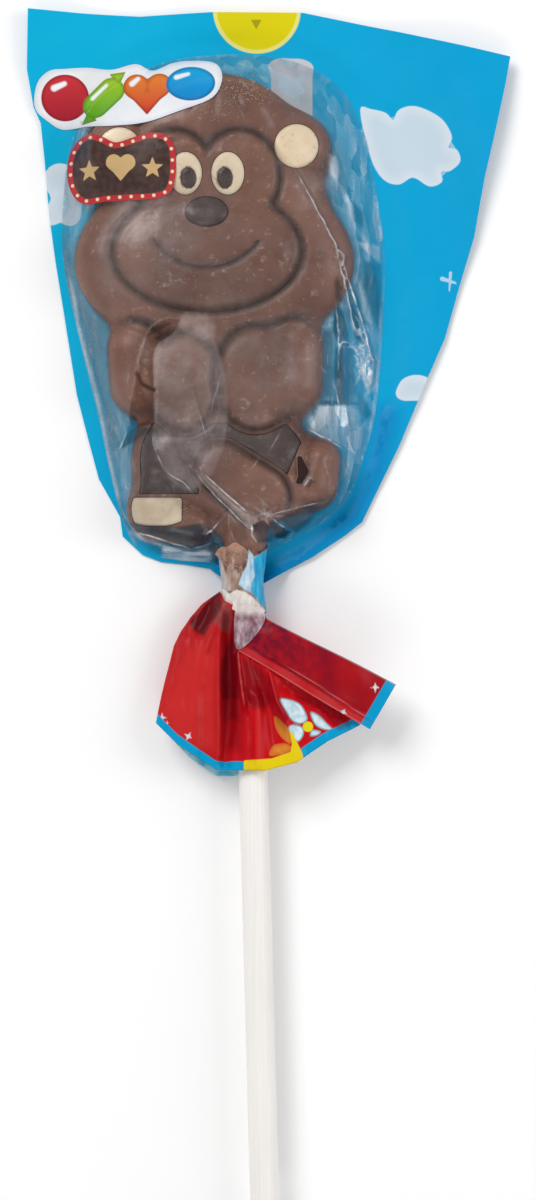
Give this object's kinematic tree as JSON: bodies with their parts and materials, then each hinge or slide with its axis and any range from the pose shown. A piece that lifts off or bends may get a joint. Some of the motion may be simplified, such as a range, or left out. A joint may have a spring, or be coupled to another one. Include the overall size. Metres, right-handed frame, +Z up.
{
  "type": "wrapped chocolate lollipop",
  "caption": "Flat moulded milk-chocolate monkey on a white plastic stick, in a printed blue film bag with a clear front, gathered round the stick into a red skirt.",
  "frame": {"origin": "under the middle of the whole object, on the surface that it lies on", "axes": "+X to the right of the shown side, +Y from the stick's free end to the top of the bag, +Z up, out of the shown side"},
  "size_m": [0.0748, 0.1841, 0.0111],
  "materials": {
    "milk_chocolate": "milk chocolate with a soft sheen and a little bloom",
    "white_chocolate": "white chocolate with a soft sheen",
    "dark_chocolate": "dark chocolate with a soft sheen",
    "white_plastic": "satin white plastic tube",
    "printed_film": "glossy printed plastic film",
    "clear_film": "glossy clear plastic film, creased"
  },
  "bodies": {
    "root": {"chocolate_figure": "milk_chocolate", "ear_disc_left": "white_chocolate", "ear_disc_right": "white_chocolate", "eye_left": "white_chocolate", "eye_right": "white_chocolate", "pupil_left": "dark_chocolate", "pupil_right": "dark_chocolate", "nose": "dark_chocolate", "shorts": "dark_chocolate", "cuff": "white_chocolate", "stick": "white_plastic", "clear_pouch": "clear_film", "printed_wrapper": "printed_film"}
  },
  "joints": []
}
